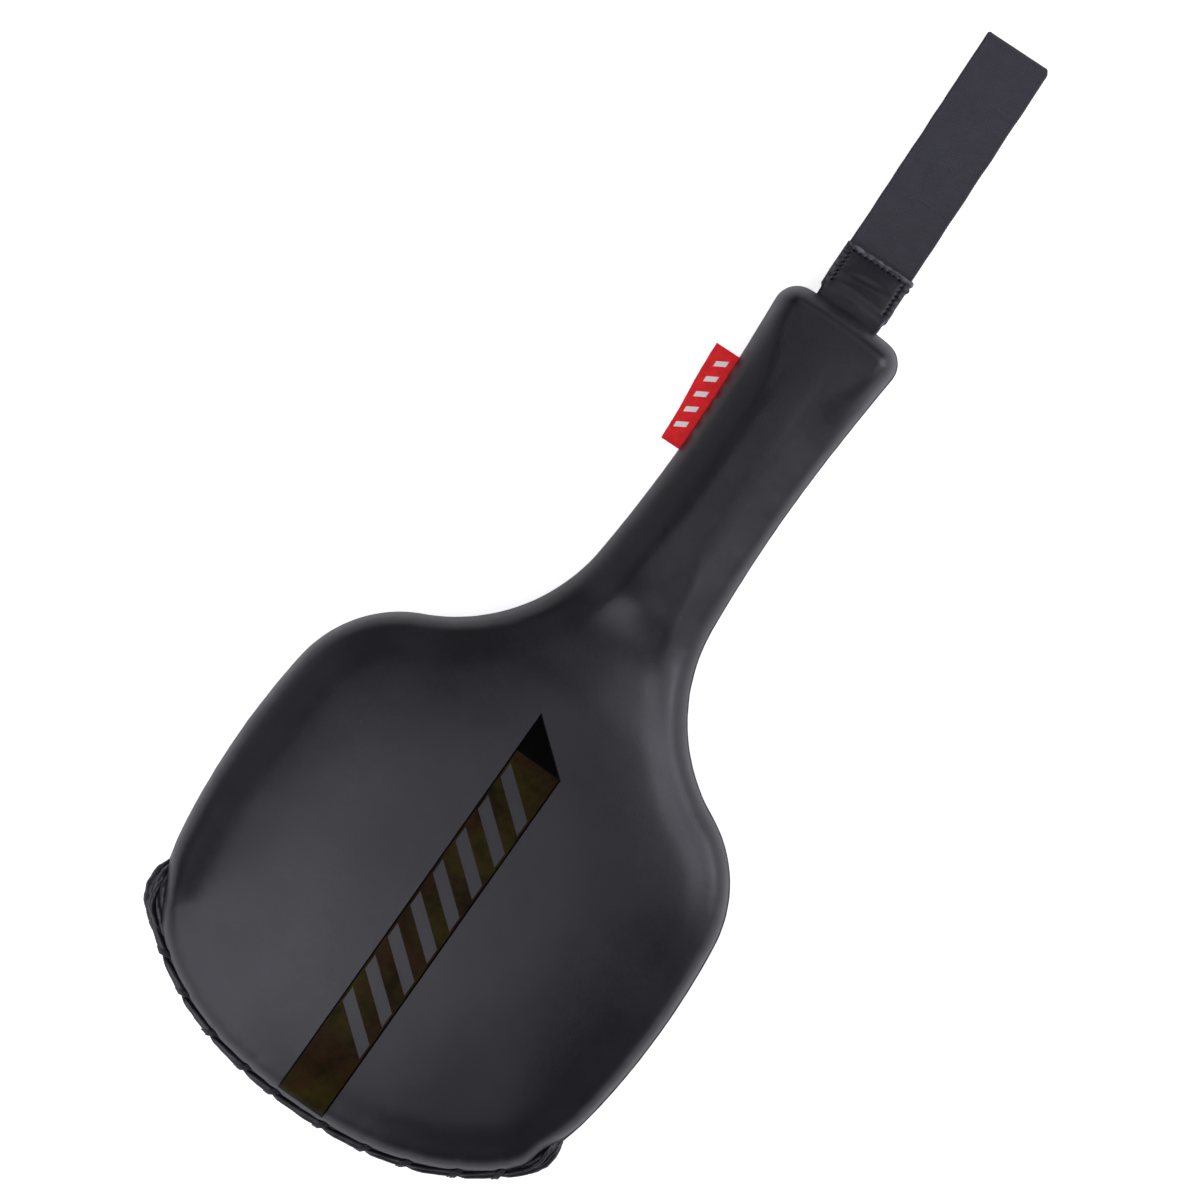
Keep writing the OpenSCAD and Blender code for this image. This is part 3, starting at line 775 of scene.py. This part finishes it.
def band_material(name):
    """Dark olive gloss film, black along its sides, at its low end and over the pointed top."""
    n = Nodes(name)
    coord = n.coord()
    x, y = n.add("ShaderNodeSeparateXYZ", {"Vector": coord}).outputs[:2]
    middle, half = (BAND_L + BAND_R) / 2, (BAND_R - BAND_L) / 2
    away = n.math("ABSOLUTE", n.math("SUBTRACT", x, middle * MM))
    side = n.math("GREATER_THAN", away, (half - BLACK_SIDE) * MM)
    top = n.math("GREATER_THAN", y, (BAND_TIP - SLANT * (BAND_R - BAND_L)) * MM)
    foot = n.math("LESS_THAN", y, (BAND_LOW + BLACK_FOOT) * MM)
    black = n.math("MAXIMUM", n.math("MAXIMUM", side, top), foot)
    cloud = n.noise(coord, 75, 4, 0.62)
    olive = n.ramp(cloud, (0.32, (0.010, 0.008, 0.002)), (0.5, (0.025, 0.0195, 0.0035)),
                   (0.7, (0.036, 0.031, 0.004)))
    brown = n.ramp(cloud, (0.35, (0.006, 0.003, 0.002)), (0.7, (0.030, 0.012, 0.004)))
    patches = n.ramp(n.noise(coord, 38, 2, 0.5), (0.44, 0.0), (0.56, 0.8))
    colour = n.mix(black, n.mix(patches, olive, brown), (0.0006, 0.0006, 0.0006, 1))
    grain = n.bump(n.noise(coord, 900, 2, 0.5), 0.02, 0.5, n.bump(cloud, 0.3, 0.5))
    return n.finish(Base_Color=colour, Roughness=n.ramp(cloud, (0.3, 0.36), (0.7, 0.26)), Normal=grain,
                    Specular_IOR_Level=0.03)


def height_on(obj, xs, ys):
    """Height of the top surface of obj at each place."""
    bpy.context.view_layer.update()
    tree = BVHTree.FromObject(obj, bpy.context.evaluated_depsgraph_get())
    down, above = Vector((0, 0, -1)), 80.0
    hits = [tree.ray_cast(Vector((x, y, above)) * MM, down)[0] for x, y in zip(xs.ravel(), ys.ravel())]
    return np.array([hit.z / MM if hit else MID_Z for hit in hits]).reshape(ys.shape)


def make_band():
    """The film, laid on the front panel. Its rows slant like its top, and level out at its low end."""
    inset = 0.7
    edges = (BAND_L, BAND_L + inset, BAND_L + GAP_MARGIN, BAND_R - GAP_MARGIN, BAND_R - inset, BAND_R)
    xs = np.unique(np.concatenate([steps(a, b, 0.6) for a, b in zip(edges, edges[1:])]))
    marks = [BAND_TIP, BAND_LOW + SLANT * (BAND_R - BAND_L) + 3]
    marks += [edge for top in GAP_TOPS for edge in (top, top - GAP_H)]
    marks.sort(reverse=True)
    rows = [marks[0]]
    for a, b in zip(marks, marks[1:]):
        rows += list(steps(a, b, 0.8)[1:])
    slanted = np.array([row - SLANT * (xs - BAND_L) for row in rows])
    foot = np.array([slanted[-1] + (BAND_LOW - slanted[-1]) * t for t in np.linspace(0, 1, 14)[1:]])
    ys = np.concatenate([slanted, foot])
    left = np.concatenate([rows, np.full(len(foot), rows[-1] - 1)])
    xx = np.broadcast_to(xs, ys.shape)

    hits = height_on(front_panel, xx, ys)
    zz = hits.copy()
    for _ in range(3):
        zz[1:-1] = (zz[:-2] + 2 * zz[1:-1] + zz[2:]) / 4
        zz[:, 1:-1] = (zz[:, :-2] + 2 * zz[:, 1:-1] + zz[:, 2:]) / 4
    zz = np.maximum(zz, hits)
    slope = np.minimum(np.abs(np.gradient(zz, axis=0) / np.minimum(np.gradient(ys, axis=0), -0.05)), 3)
    top = np.stack([xx, ys, zz + FILM_LIFT * np.sqrt(1 + slope ** 2)], -1)
    bottom = np.stack([xx, ys, zz - FILM_DEPTH], -1)
    mid_row, mid_col = (left[:-1] + left[1:]) / 2, (xs[:-1] + xs[1:]) / 2
    in_gap = sum((mid_row < gap) & (mid_row > gap - GAP_H) for gap in GAP_TOPS).astype(bool)
    inside = (mid_col > BAND_L + GAP_MARGIN) & (mid_col < BAND_R - GAP_MARGIN)
    return plate("face_band_film", top, bottom, band_material("gloss_print"), cut=in_gap[:, None] & inside)


band = make_band()
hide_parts("face_band")

# ---------- strap frames
X_AXIS = np.array([math.cos(YAW), math.sin(YAW), 0])
Y_AXIS = np.array([-math.sin(YAW), math.cos(YAW), 0])
Z_AXIS = np.array([0, 0, 1.0])
HINGE = np.array([STRAP_X, END_Y + HINGE_OFF, MID_Z])
DROP = math.asin((MID_Z - LOOP_Z) / TAB_LEN)  # the tab's slope down to the floor
TAB_DIR = Y_AXIS * math.cos(DROP / 2) - Z_AXIS * math.sin(DROP / 2)
LOOP_O = HINGE + TAB_LEN * (Y_AXIS * math.cos(DROP) - Z_AXIS * math.sin(DROP))


def turned(origin, along, across, lift, angle):
    """Points at (along, across, lift) from origin, turned down by angle about the strap's width."""
    c, s = np.cos(angle), np.sin(angle)
    return (origin + across[..., None] * X_AXIS + (along * c + lift * s)[..., None] * Y_AXIS
            + (lift * c - along * s)[..., None] * Z_AXIS)


def tab_point(a, c, n):
    """a mm along the tab from its hinge, c across, n above its mid plane."""
    a, c, n = np.broadcast_arrays(np.asarray(a, float), c, n)
    return turned(HINGE, a, c, n, DROP * ease(a, -2.5, 4.0))


def loop_point(y, c, n):
    """y mm along the loop from the end of the tab, c across, n above its mid plane."""
    y, c, n = np.broadcast_arrays(np.asarray(y, float), c, n)
    return turned(LOOP_O, y, c, n, DROP * (1 - ease(y, -3.0, 2.5)))


def bend(obj, bodies, origin, direction, before, after):
    """Bakes obj's placement into its mesh; it does not bend obj. bodies, origin, direction, before and after
    are not used.
    """
    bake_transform(obj)


# ---------- leather tab
TAB_START, TAB_END = -7.0, 28.3
STITCH_INSET, TAB_STITCH, END_STITCH = 2.9, 2.9, 2.9 * 0.93
SIDE_LINE, END_LINE = HALF_TAB - STITCH_INSET, TAB_END - STITCH_INSET


def stitch_places():
    """(along, across) where each stitch starts, and the direction it runs in."""
    starts = np.arange(5.0, END_LINE - 1.0, TAB_STITCH)
    across = np.arange(-SIDE_LINE + 1.2, SIDE_LINE - 0.6, END_STITCH)
    sides = [(a, sign * SIDE_LINE, 1, 0) for sign in (-1, 1) for a in starts]
    return sides + [(END_LINE, c, 0, 1) for c in across]


def tab_ply(side):
    """One ply of the tab: stuffed between its stitch lines, creased across, with a painted highlight
    lightening its hem and edges.
    Gives the object and its grids of along, across and height."""
    a = np.concatenate([np.linspace(TAB_START, 0, 16)[:-1], np.linspace(0, TAB_END, 116)])
    aa, cc = np.meshgrid(a, np.linspace(-1, 1, 112), indexing="ij")
    half = HALF_TAB + 0.25 * grid_noise(6, 51, aa, np.sign(cc) * 9)
    half = half + 0.9 * peak(aa, 26.6, 1.6) * (cc > 0) - 1.0 * (1 - ease(aa, 0, 5))
    cc = cc * half
    crinkle = grid_noise(3.2, 53, aa * 2.2, cc, side * 7)
    ripple = grid_noise(7.5, 55, aa, cc, side * 5)
    opened = ease(aa, -1.0, 6.0)  # the plies part here, round the webbing's tails
    inner = 0.06 + 1.74 * opened

    in_side, in_end = half - STITCH_INSET - np.abs(cc), END_LINE - aa
    puff = (1 - np.exp(-np.maximum(in_side, 0) / 3.2)) * (1 - np.exp(-np.maximum(in_end, 0) / 3.2))
    n = inner + 0.85 + 0.95 * puff * opened + 0.18 * ripple * puff + 0.10 * crinkle * (1 - puff) * opened
    n -= 0.20 * peak(np.minimum(SIDE_LINE - np.abs(cc), in_end), 0, 0.55) * opened
    holes = np.zeros(n.shape)
    for hole_a, hole_c, _, _ in stitch_places():
        holes = np.maximum(holes, np.exp(-((aa - hole_a) ** 2 + (cc - hole_c) ** 2) / 0.52))
    n -= 0.62 * holes * opened

    from_crease = aa - 12.6 - 1.3 * np.sin(cc / 6.0 + 0.5)
    folds = sum(height * peak(from_crease, place, width)
                for height, place, width in ((-0.60, 0, 1.7), (0.16, 4.6, 2.6), (0.22, -4.4, 2.4)))
    n += folds * ease(HALF_TAB - np.abs(cc), 2.5, 13.0)
    n += 0.62 * peak(aa, TAB_END - 0.9, 0.65) * (1 + 0.7 * crinkle) * opened
    n += 0.12 * crinkle * ease(aa, 21, 27)
    n = np.maximum(n, inner + 0.35)
    edge_round = ease(np.minimum(half - np.abs(cc), TAB_END - aa), 0.0, 0.7)
    n = inner + (n - inner) * (0.55 + 0.45 * edge_round)

    # hem and rim mark where the crinkled hem and the side edges get a painted highlight, a lighter grey in
    # the colour.
    hem = peak(aa, TAB_END - 1.2, 1.0) * np.clip(0.8 + 1.5 * crinkle, 0.1, 1.6)
    rim = peak(half - np.abs(cc), 1.1, 0.8) * np.clip(0.32 + 0.8 * crinkle, 0, 0.8) * opened
    highlit = np.clip(hem + rim, 0, 1.3).ravel()
    aa = aa + 0.45 * grid_noise(5, 57, cc, side * 3) * ease(aa, 20, TAB_END)
    name = "tab_leather_front" if side > 0 else "tab_leather_back"
    obj = plate(name, tab_point(aa, cc, side * n), tab_point(aa, cc, side * inner), TAB_LEATHER)
    # The painted highlight goes on the outer face, and less of it on the inner face.
    paint(obj, "painted_highlight", np.concatenate([highlit, highlit * 0.3]))
    # The stitch holes on the outer face are painted black and matt: painted shade in the pits.
    paint(obj, "hole_shade", np.concatenate([holes.ravel(), holes.ravel() * 0]))
    return obj, (aa, cc, n)


tab_front, front_surface = tab_ply(1)
tab_back, back_surface = tab_ply(-1)
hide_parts("tab_front", "tab_root")
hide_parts("tab_back")


def tab_stitches():
    """A short length of thread on both plies for each stitch, with its ends sunk in the holes."""
    t = np.linspace(-1, 1, 13)
    reach = 0.84
    parts = []
    for a, c, along, over in stitch_places():
        pa = a + along * (TAB_STITCH / 2 + reach * t)
        pc = c + over * (END_STITCH / 2 + reach * t)
        for side, (aa, cc, n) in ((1, front_surface), (-1, back_surface)):
            nearest = [np.argmin((aa - x) ** 2 + (cc - y) ** 2) for x, y in zip(pa[4:9], pc[4:9])]
            lift = n.ravel()[nearest].mean() + 0.02 - 0.55 * np.abs(t) ** 4
            parts.append(sweep(tab_point(pa, pc, side * lift), 0.24, 8, up=(0.3, 0.3, 0.9)))
    return join_parts(parts)


tab_thread = mesh_object("tab_stitch_thread", *tab_stitches(), THREAD)
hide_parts("tab_stitching")

# ---------- webbing loop
BEND_1, BEND_2, BEND_3 = BASE_LEN, BASE_LEN + HALF_LOOP, BASE_LEN + 2 * HALF_LOOP
FOLD_AT = LOOP_LEN - STACK_HALF
TAIL_START, JOIN_1, JOIN_2, JOIN_3, JOIN_4 = 8 - TAB_LEN, 3.0, 29.0, 75.0, BEND_3 + 1.5
TONGUE = 0.5
EDGE_LOOPS = 1.25  # pitch of the weft's turns along the edges


def strap_steps(a, b):
    return steps(a, b, 0.32, 3)


def strip(name, along, lift, tongue=True):
    """One length of webbing. along and lift are its centre line.
    A tongue is a short thinner end that closes the join to the next length from inside."""
    lift = np.broadcast_to(np.asarray(lift, float), np.shape(along))
    start = along[0] - TAIL_START
    if tongue:
        along, lift = np.append(along, along[-1] + TONGUE), np.append(lift, lift[-1])
    walked = np.concatenate([[0], np.cumsum(np.hypot(np.diff(along), np.diff(lift)))]) + start
    bead_t = 0.93
    t = np.concatenate([np.linspace(-1, -bead_t, 6)[:-1], np.linspace(-bead_t, bead_t, 34),
                        np.linspace(bead_t, 1, 6)[1:]])
    tangent = np.stack([np.gradient(along), np.gradient(lift)], -1)
    tangent /= np.linalg.norm(tangent, axis=1, keepdims=True)
    normal = np.stack([-tangent[:, 1], tangent[:, 0]], -1)
    ss, tt = np.meshgrid(walked, t, indexing="ij")

    notch = 0.16 * np.abs(np.sin(ss * math.pi / EDGE_LOOPS)) ** 0.7
    half = HALF_W - 0.25 + notch + 0.22 * grid_noise(9, 61, ss, np.sign(tt) * 20)
    corner = np.where(tt > 0, 3.2, 1.2)  # radius of the loop's far corners
    past = np.maximum(along[:, None] - (LOOP_LEN - corner), 0)
    half = half - (corner - np.sqrt(np.maximum(corner ** 2 - past ** 2, 0)))
    half[-1] -= 0.2 * tongue
    cc = tt * half
    from_edge = (1 - np.abs(tt)) * half
    body = np.sqrt(np.clip(1 - (1 - np.clip(from_edge / (WEB_T / 2), 0, 1)) ** 2, 0.02, 1))
    bead = 0.12 * peak(from_edge, 0.9, 0.7) * (0.6 + 0.4 * np.sin(ss * 2 * math.pi / EDGE_LOOPS))
    h = WEB_T / 2 * body * 0.94 + bead - 0.05 + 0.035 * np.sin(ss * 2 * math.pi / 0.95) * body
    h[-1] -= 0.1 * tongue
    sag = 0.05 * grid_noise(21, 63, ss, cc)
    top, bottom = [loop_point(along[:, None] + normal[:, :1] * off, cc, lift[:, None] + normal[:, 1:] * off)
                   for off in (sag + h, sag - h)]
    return plate(name, top, bottom, WEBBING, np.stack([cc, ss], -1))


TAB_BEND, BASE_BEND, MIDDLE_BEND, END_BEND = (-2.5, 2.0), (-2.4, 3.6), (-5.5, 5.5), (-3.0, 1.2)
LENGTHS = (  # name, layer, start, end, where, along what and how far it bends, bodies, nodes replaced
    ("tail_front", 1, TAIL_START, JOIN_1, 0, TAB_DIR, TAB_BEND, "tab loop_start", "loop_tail loop_base"),
    ("tail_back", -1, TAIL_START, JOIN_1, 0, TAB_DIR, TAB_BEND, "tab loop_start", ""),
    ("front_start", 1, JOIN_1, JOIN_2, BEND_1, Y_AXIS, BASE_BEND, "loop_start front_lower",
     "loop_front_lower"),
    ("front_middle", 1, JOIN_2, JOIN_3, BEND_2, Y_AXIS, MIDDLE_BEND, "front_lower front_upper", ""),
    ("front_end", 1, JOIN_3, JOIN_4, BEND_3, Y_AXIS, END_BEND, "front_upper loop_end", "loop_front_upper"),
    ("back_start", -1, JOIN_1, JOIN_2, BEND_1, Y_AXIS, BASE_BEND, "loop_start back_lower", "loop_back_lower"),
    ("back_end", -1, JOIN_2, BEND_3 - 0.1, BEND_2, Y_AXIS, MIDDLE_BEND, "back_lower back_upper",
     "loop_back_upper"),
)
for name, layer, start, end, hinge, direction, stretch, bodies, nodes in LENGTHS:
    length = strip("strap_" + name, strap_steps(start, end), layer * LAYER_Z, tongue=name != "back_end")
    bend(length, bodies.split(), loop_point(hinge, 0, 0), direction, *stretch)
    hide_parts(*nodes.split())

turn = np.linspace(math.pi / 2, -math.pi / 2, 22)
there, back = strap_steps(JOIN_4, FOLD_AT)[:-1], strap_steps(FOLD_AT, BEND_3 + 0.1)[1:]
fold_along = np.concatenate([there, FOLD_AT + LAYER_Z * np.cos(turn), back])
fold_lift = np.concatenate([np.full(len(there), LAYER_Z), LAYER_Z * np.sin(turn),
                            np.full(len(back), -LAYER_Z)])
end_fold = strip("strap_end_fold", fold_along, fold_lift, tongue=False)
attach(end_fold, "loop_end")
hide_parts("loop_end_fold")

# ---------- woven side label
LABEL_LEN, LABEL_LOW, LABEL_HIGH = 44.0, 7.8, 10.5  # length, and how far its two ends stand out
flip = next(joint for joint in frame["joints"] if joint["name"] == "label_flip")
LABEL_O, LABEL_ALONG = np.array(flip["pos_m"]) / MM, np.array(flip["axis"])
LABEL_OUT = np.cross(Z_AXIS, LABEL_ALONG)


def label_material(name):
    """Red satin weave with slanted white bars woven in. The UV is in metres, u out from the seam."""
    n = Nodes(name)
    uv = n.add("ShaderNodeUVMap").outputs[0]
    out, along = n.add("ShaderNodeSeparateXYZ", {"Vector": uv}).outputs[:2]
    lean = n.math("ADD", along, n.math("MULTIPLY", out, 0.55))
    phase = n.math("FRACT", n.math("DIVIDE", lean, 7.2 * MM))
    bar = n.math("LESS_THAN", n.math("ABSOLUTE", n.math("SUBTRACT", phase, 0.5)), 0.17)
    low = n.math("GREATER_THAN", out, 1.9 * MM)
    high = n.math("LESS_THAN", out, 6.4 * MM)
    ends = n.math("LESS_THAN", n.math("ABSOLUTE", n.math("SUBTRACT", along, 1.0 * MM)), 17.5 * MM)
    mask = n.math("MULTIPLY", n.math("MULTIPLY", bar, low), n.math("MULTIPLY", high, ends))
    weave = n.math("MULTIPLY", wave(n, along, 0.42), wave(n, out, 0.36))
    red = n.ramp(n.noise(uv, 300, 3, 0.6), (0.3, (0.62, 0.002, 0.004)), (0.7, (0.86, 0.006, 0.010)))
    dyed = n.mix(mask, red, (0.78, 0.74, 0.72, 1))
    # The weave darkens its hollows a little in the colour: painted shade.
    tone = n.mix(1.0, dyed, n.math("ADD", n.math("MULTIPLY", weave, 0.08), 0.94), "MULTIPLY")
    # The label also glows faintly in its own colour, lit by no lamp: painted light.
    return n.finish(Base_Color=tone, Roughness=0.55, Normal=n.bump(weave, 0.06, 0.7), Sheen_Weight=0.15,
                    Emission_Color=tone, Emission_Strength=0.3)


def make_label():
    """A folded cloth tag that widens towards the grip's end, with a slight wave."""
    root = 2.5  # how deep it is sewn in
    v, t = np.linspace(-LABEL_LEN / 2, LABEL_LEN / 2, 130), np.linspace(0, 1, 34)
    vv, tt = np.meshgrid(v, t, indexing="ij")
    reach = LABEL_LOW + (LABEL_HIGH - LABEL_LOW) * (vv + LABEL_LEN / 2) / LABEL_LEN
    reach = reach + 0.18 * np.sin(vv / 5.5) + 0.1 * grid_noise(3, 71, vv, vv, vv)
    out = -root + (reach + root) * tt
    lift = 0.22 * np.sin(vv / 7.0 + 0.6) * ease(out, 0, 7) - 0.35 * ease(out, 1, 10)
    half = (0.34 + 0.10 * peak(out, reach - 0.5, 0.6)) * np.sqrt(np.clip((reach - out) / 0.4, 0.15, 1))
    base = LABEL_O + out[..., None] * LABEL_OUT + vv[..., None] * LABEL_ALONG
    top, bottom = [base + (lift + sign * half)[..., None] * Z_AXIS for sign in (1, -1)]
    return plate("side_label_cloth", top, bottom, label_material("label_weave"), np.stack([out, vv], -1))


label = make_label()
bend(label, ("paddle", "label"), LABEL_O, LABEL_OUT, -0.8, 2.2)
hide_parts("side_label", "label_root")

# ---------- what rides on what
for obj in (front_panel, back_panel, edge_fold, closing_thread, band):
    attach(obj, "paddle")
for obj in (tab_front, tab_back):
    bend(obj, ("paddle", "tab"), HINGE, TAB_DIR, -2.5, 4.0)
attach(tab_thread, "tab")

# ---------- what is inside, kept from the CAD
INSIDE = {  # material, and how far its surface is drawn in so that the cover clears it
    "front_head_foam": (FOAM, 3.4), "back_head_foam": (FOAM, 3.4),
    "front_grip_foam": (GRIP_FOAM, 1.3), "back_grip_foam": (GRIP_FOAM, 1.3),
    "core_board": (BOARD, 0), "side_seam_thread": (THREAD, 0),
}
for node, (material, clearance) in INSIDE.items():
    obj = frame["nodes"][node]
    obj.data.materials.clear()
    obj.data.materials.append(material)
    if clearance:
        shrink = obj.modifiers.new("Clearance", "DISPLACE")
        shrink.strength = -clearance * MM
        shrink.mid_level = 0

# ---------- floor, light, camera
CENTRE = Vector((-15.9, 124.6, MID_Z)) * MM  # what the camera looks at
PICTURE_TURN = math.radians(35.238)  # of the picture's right, from the frame's x
RIGHT = Vector((math.cos(PICTURE_TURN), math.sin(PICTURE_TURN), 0))
UP = Vector((-math.sin(PICTURE_TURN), math.cos(PICTURE_TURN), 0))
TOP = Vector((0, 0, 1))
CAMERA_AWAY, LENS, SENSOR = 3.333, 250, 36
LIGHT_COLOUR = (1, 0.975, 1.09)
LIGHTS = (  # name, degrees anticlockwise from the picture's right, degrees up, metres away, size, power
    ("key_right", 4, 22, 0.8, 0.5, 2.4),
    ("high_right", 12, 50, 0.9, 0.5, 1.35),
    ("key_left", 216, 22, 0.8, 0.5, 1.3),
    ("high_left", 212, 50, 0.9, 0.5, 1.35),
    ("over_left", 212, 72, 1.0, 0.5, 1.5),
    ("low_fill", 340, 24, 0.8, 0.5, 0.42),
    ("edge_left", 144, 22, 0.8, 0.5, 0.4),
    ("far_fill", 62, 34, 0.8, 0.5, 0.40),
    ("overhead", 0, 90, 2.0, 0.9, 0.6),
)


def floor_material(name):
    """Pale paper. It glows to the camera, and only a little on the object."""
    n = Nodes(name)
    paper = n.ramp(n.noise(n.coord(), 3, 2), (0.3, 0.90), (0.7, 0.94))
    seen = n.add("ShaderNodeLightPath").outputs["Is Camera Ray"]
    glow = n.math("ADD", n.math("MULTIPLY", seen, 0.66), 0.14)
    return n.finish(Base_Color=paper, Roughness=0.9, Emission_Color=(1, 1, 1, 1), Emission_Strength=glow)


def softbox(name, around, above, distance, size, power):
    a, e = math.radians(around), math.radians(above)
    toward = (RIGHT * math.cos(a) + UP * math.sin(a)) * math.cos(e) + TOP * math.sin(e)
    light = bpy.data.lights.new(name, "AREA")
    light.shape = "RECTANGLE"
    light.size = light.size_y = size
    light.energy = power
    light.color = LIGHT_COLOUR
    obj = bpy.data.objects.new(name, light)
    bpy.context.collection.objects.link(obj)
    obj.location = CENTRE + toward * distance
    obj.rotation_euler = (-toward).to_track_quat("-Z", "Y").to_euler()


def add_camera():
    data = bpy.data.cameras.new("camera")
    data.lens = LENS
    data.sensor_width = SENSOR
    data.clip_end = 20
    camera = bpy.data.objects.new("camera", data)
    bpy.context.collection.objects.link(camera)
    turned_up = Matrix((RIGHT, UP, TOP)).transposed()
    camera.matrix_world = Matrix.Translation(CENTRE + TOP * CAMERA_AWAY) @ turned_up.to_4x4()
    bpy.context.scene.camera = camera


FLOOR_HALF, FLOOR_Z = 3000, -0.05
floor_corners = [(x * FLOOR_HALF, y * FLOOR_HALF, FLOOR_Z) for x, y in ((-1, -1), (1, -1), (1, 1), (-1, 1))]
mesh_object("floor", floor_corners, [(0, 1, 2, 3)], floor_material("floor"), smooth=False)
for light in LIGHTS:
    softbox(*light)
add_camera()

world = bpy.data.worlds.new("studio")
world.use_nodes = True
world.node_tree.nodes["Background"].inputs["Color"].default_value = (0.5, 0.5, 0.5, 1)
world.node_tree.nodes["Background"].inputs["Strength"].default_value = 0.02
bpy.context.scene.world = world
bpy.context.scene.view_settings.view_transform = "Standard"
bpy.context.scene.view_settings.look = "None"
